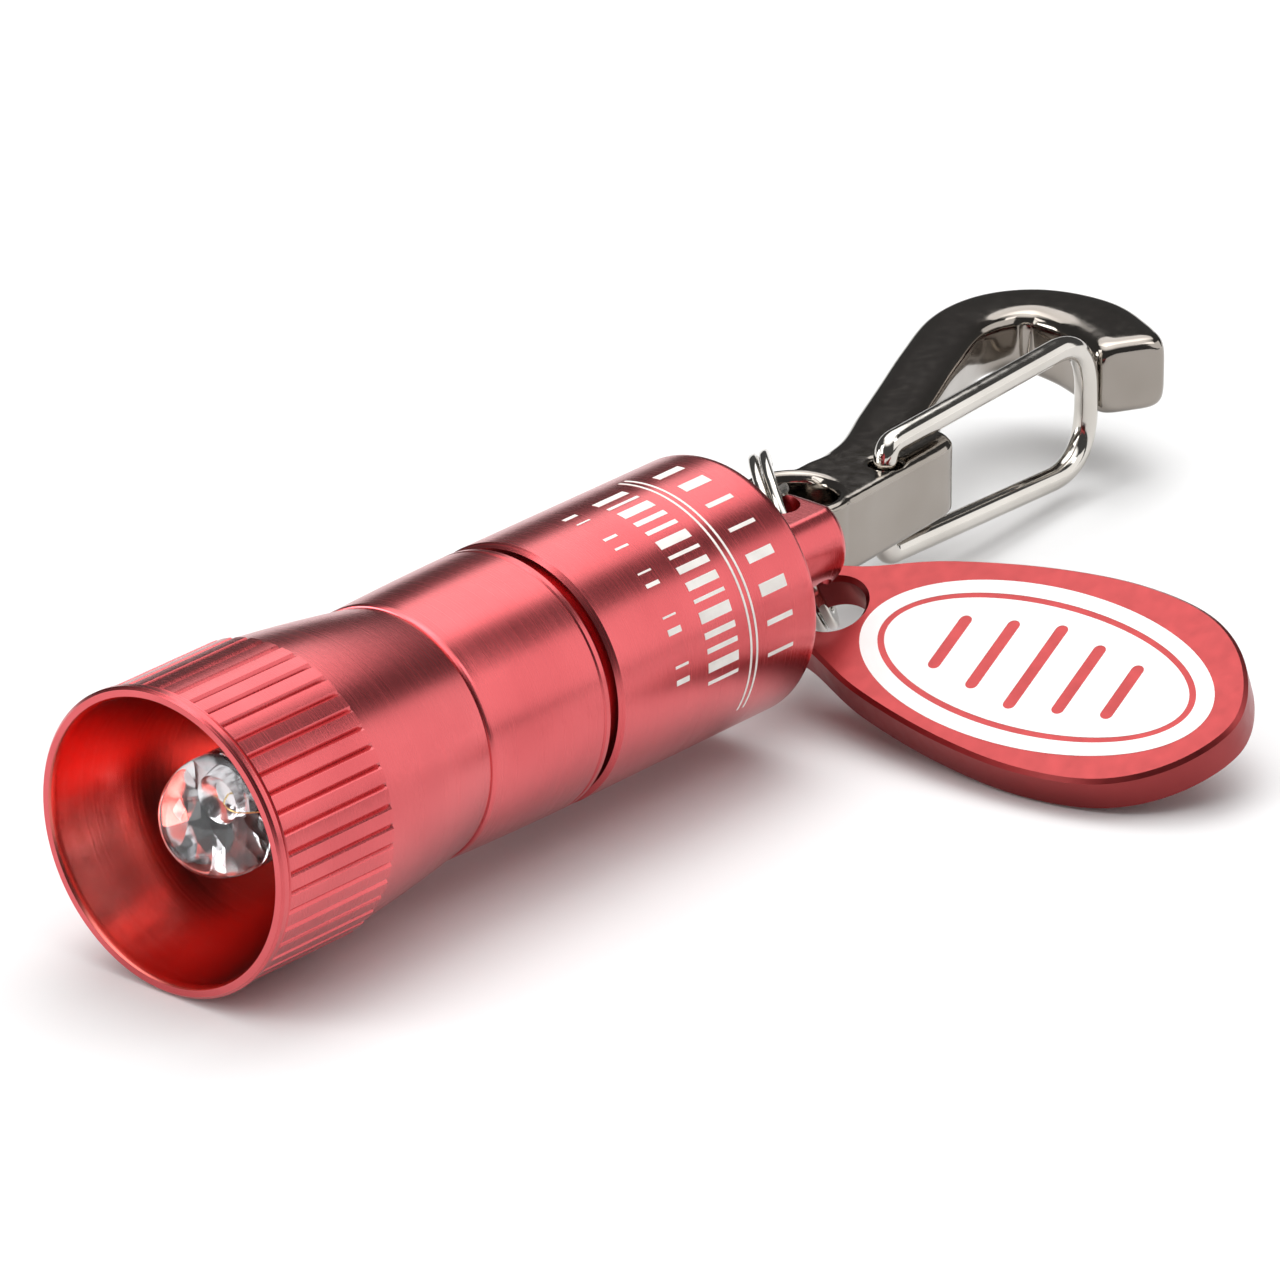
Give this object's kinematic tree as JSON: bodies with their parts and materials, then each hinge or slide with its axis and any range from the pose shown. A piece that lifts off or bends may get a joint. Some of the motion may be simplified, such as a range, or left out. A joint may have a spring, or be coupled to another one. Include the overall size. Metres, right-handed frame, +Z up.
{
  "type": "keychain flashlight",
  "caption": "Slim turned-aluminium keychain light with a fluted twist head and coin cells; a split ring joins a small snap hook and a teardrop tag to the lug.",
  "frame": {"origin": "centre of the bounding box in plan, on the surface the light lies on", "axes": "+X along the light from the lens end to the key ring end, +Z up, +Y to the side away from the tag"},
  "size_m": [0.0696, 0.0336, 0.0131],
  "materials": {
    "red_anodised": "red anodised, fine turned grain",
    "clear_epoxy": "clear, polished",
    "tinned_steel": "bright tinned",
    "phosphor": "matt yellow",
    "white_nylon": "moulded",
    "brass": "turned",
    "black_rubber": "matt",
    "steel_can": "bright",
    "spring_steel": "drawn wire",
    "polished_nickel": "polished nickel",
    "dark_nickel": "polished dark nickel"
  },
  "bodies": {
    "barrel": {"tail_barrel": "red_anodised", "o_ring": "black_rubber", "cell_sleeve": "white_nylon", "cell_1": "steel_can", "cell_2": "steel_can", "cell_3": "steel_can", "cell_4": "steel_can", "contact_spring": "spring_steel"},
    "contact": {"contact_disc": "brass"},
    "head": {"head_shell": "red_anodised", "led_lens": "clear_epoxy", "led_cathode_lead": "tinned_steel", "led_anode_lead": "tinned_steel", "led_die": "phosphor", "led_holder": "white_nylon", "retaining_ring": "brass"},
    "ring": {"split_ring": "polished_nickel"},
    "hook": {"hook_body": "dark_nickel"},
    "gate": {"gate_wire": "polished_nickel"},
    "tag": {"tag_plate": "red_anodised"}
  },
  "joints": [
    {"name": "head_advance", "type": "slide", "parent": "barrel", "child": "contact", "axis": [1, 0, 0], "range_m": [-0.0036, 0.00024]},
    {"name": "head_twist", "type": "hinge", "parent": "contact", "child": "head", "pos_m": [-0.02478, 0.00447, 0.00656], "axis": [1, 0, 0], "range_deg": [-1728, 115.2]},
    {"name": "ring_swing", "type": "hinge", "parent": "barrel", "child": "ring", "pos_m": [0.00382, 0.00447, 0.00656], "axis": [0, 0.5, 0.866], "range_deg": [-45, 50]},
    {"name": "hook_swing", "type": "hinge", "parent": "ring", "child": "hook", "pos_m": [0.00864, 0.00822, 0.00481], "axis": [0, 0, 1], "range_deg": [-50, 50]},
    {"name": "gate_open", "type": "hinge", "parent": "hook", "child": "gate", "pos_m": [0.01345, 0.00718, 0.00481], "axis": [0, 0, 1], "range_deg": [0, 16], "stiffness_Nm_per_rad": 0.02, "springref_deg": -20.05},
    {"name": "tag_swing", "type": "hinge", "parent": "ring", "child": "tag", "pos_m": [0.00497, 0.00289, 0.00338], "axis": [-0.4201, -0.0695, 0.9048], "range_deg": [-45, 50]}
  ],
  "couplings": [
    {"joint": "head_twist", "follows": "head_advance", "rad_per_m": 8377.6}
  ]
}
